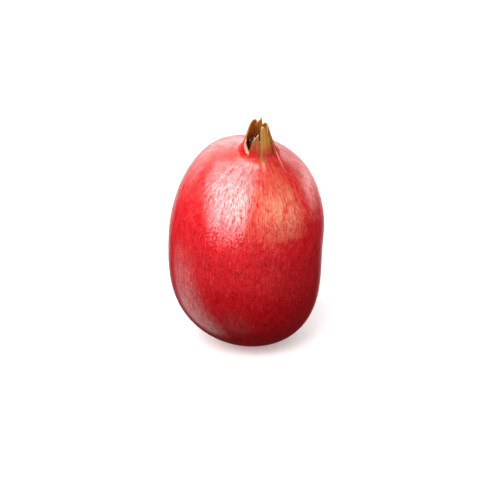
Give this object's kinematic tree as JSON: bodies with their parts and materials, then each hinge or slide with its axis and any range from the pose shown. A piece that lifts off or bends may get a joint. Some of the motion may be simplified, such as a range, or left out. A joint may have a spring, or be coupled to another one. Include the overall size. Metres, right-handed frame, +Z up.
{
  "type": "pomegranate",
  "caption": "Whole ripe pomegranate standing on its base, with a red leathery rind and a lobed calyx crown that holds dried stamens.",
  "frame": {"origin": "middle of the outline seen from above, on the level of the flat spot that the fruit rests on", "axes": "+Z up from the base to the crown, -Y towards the viewer of the picture, +X to the viewer's right"},
  "size_m": [0.0912, 0.0916, 0.142],
  "materials": {
    "rind": "waxy satin fruit rind",
    "dry_stamen": "dry papery",
    "woody_stalk": "dry cut stalk"
  },
  "bodies": {
    "root": {"fruit": "rind", "stamens": "dry_stamen", "stem_stub": "woody_stalk"}
  },
  "joints": []
}
